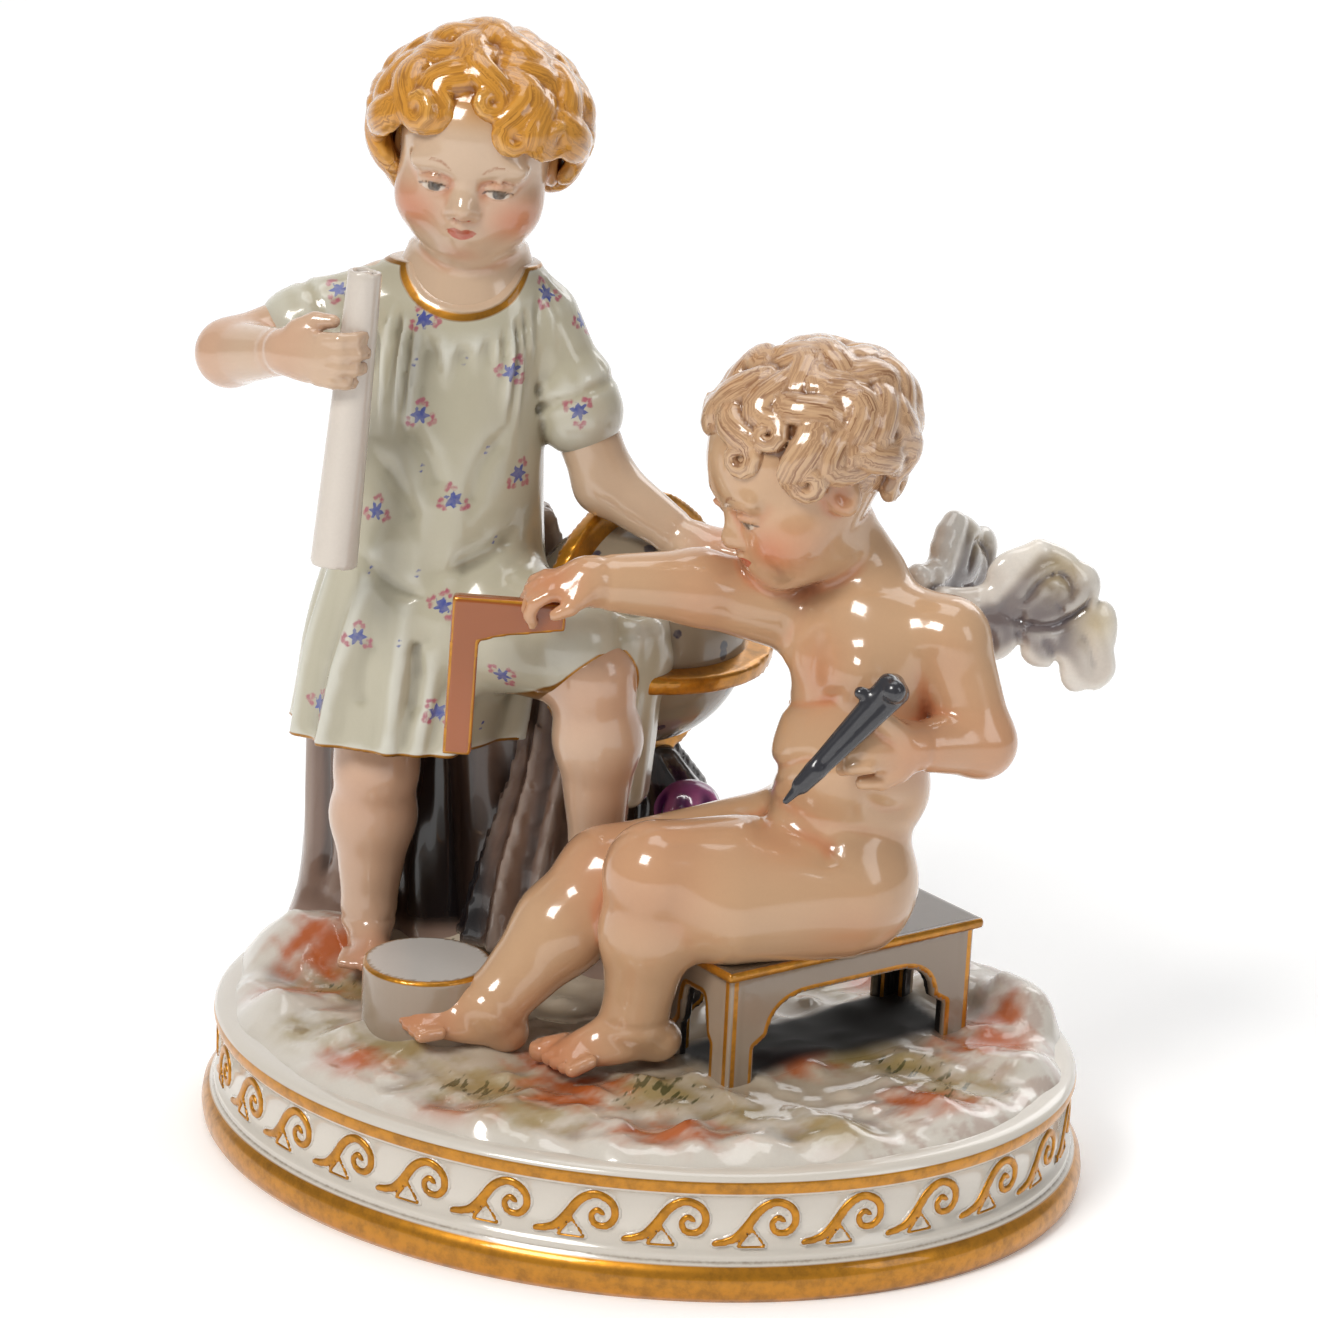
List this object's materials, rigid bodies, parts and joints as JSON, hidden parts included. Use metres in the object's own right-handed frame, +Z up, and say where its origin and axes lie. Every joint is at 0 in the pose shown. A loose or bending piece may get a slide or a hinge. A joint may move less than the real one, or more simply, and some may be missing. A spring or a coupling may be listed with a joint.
{
  "type": "porcelain figure group",
  "caption": "Porcelain group of a standing child with a paper roll and a seated winged child with a square, with a globe and stool on an oval plinth.",
  "frame": {"origin": "centre of the oval plinth's flat underside", "axes": "+X along the long axis of the plinth's oval, towards the seated child; +Y away from the figures' front; +Z up"},
  "size_m": [0.1464, 0.1224, 0.1798],
  "materials": {
    "glazed_porcelain": "glossy clear glaze over painted enamel colours and gold lines"
  },
  "bodies": {
    "root": {"figure_group": "glazed_porcelain"}
  },
  "joints": []
}
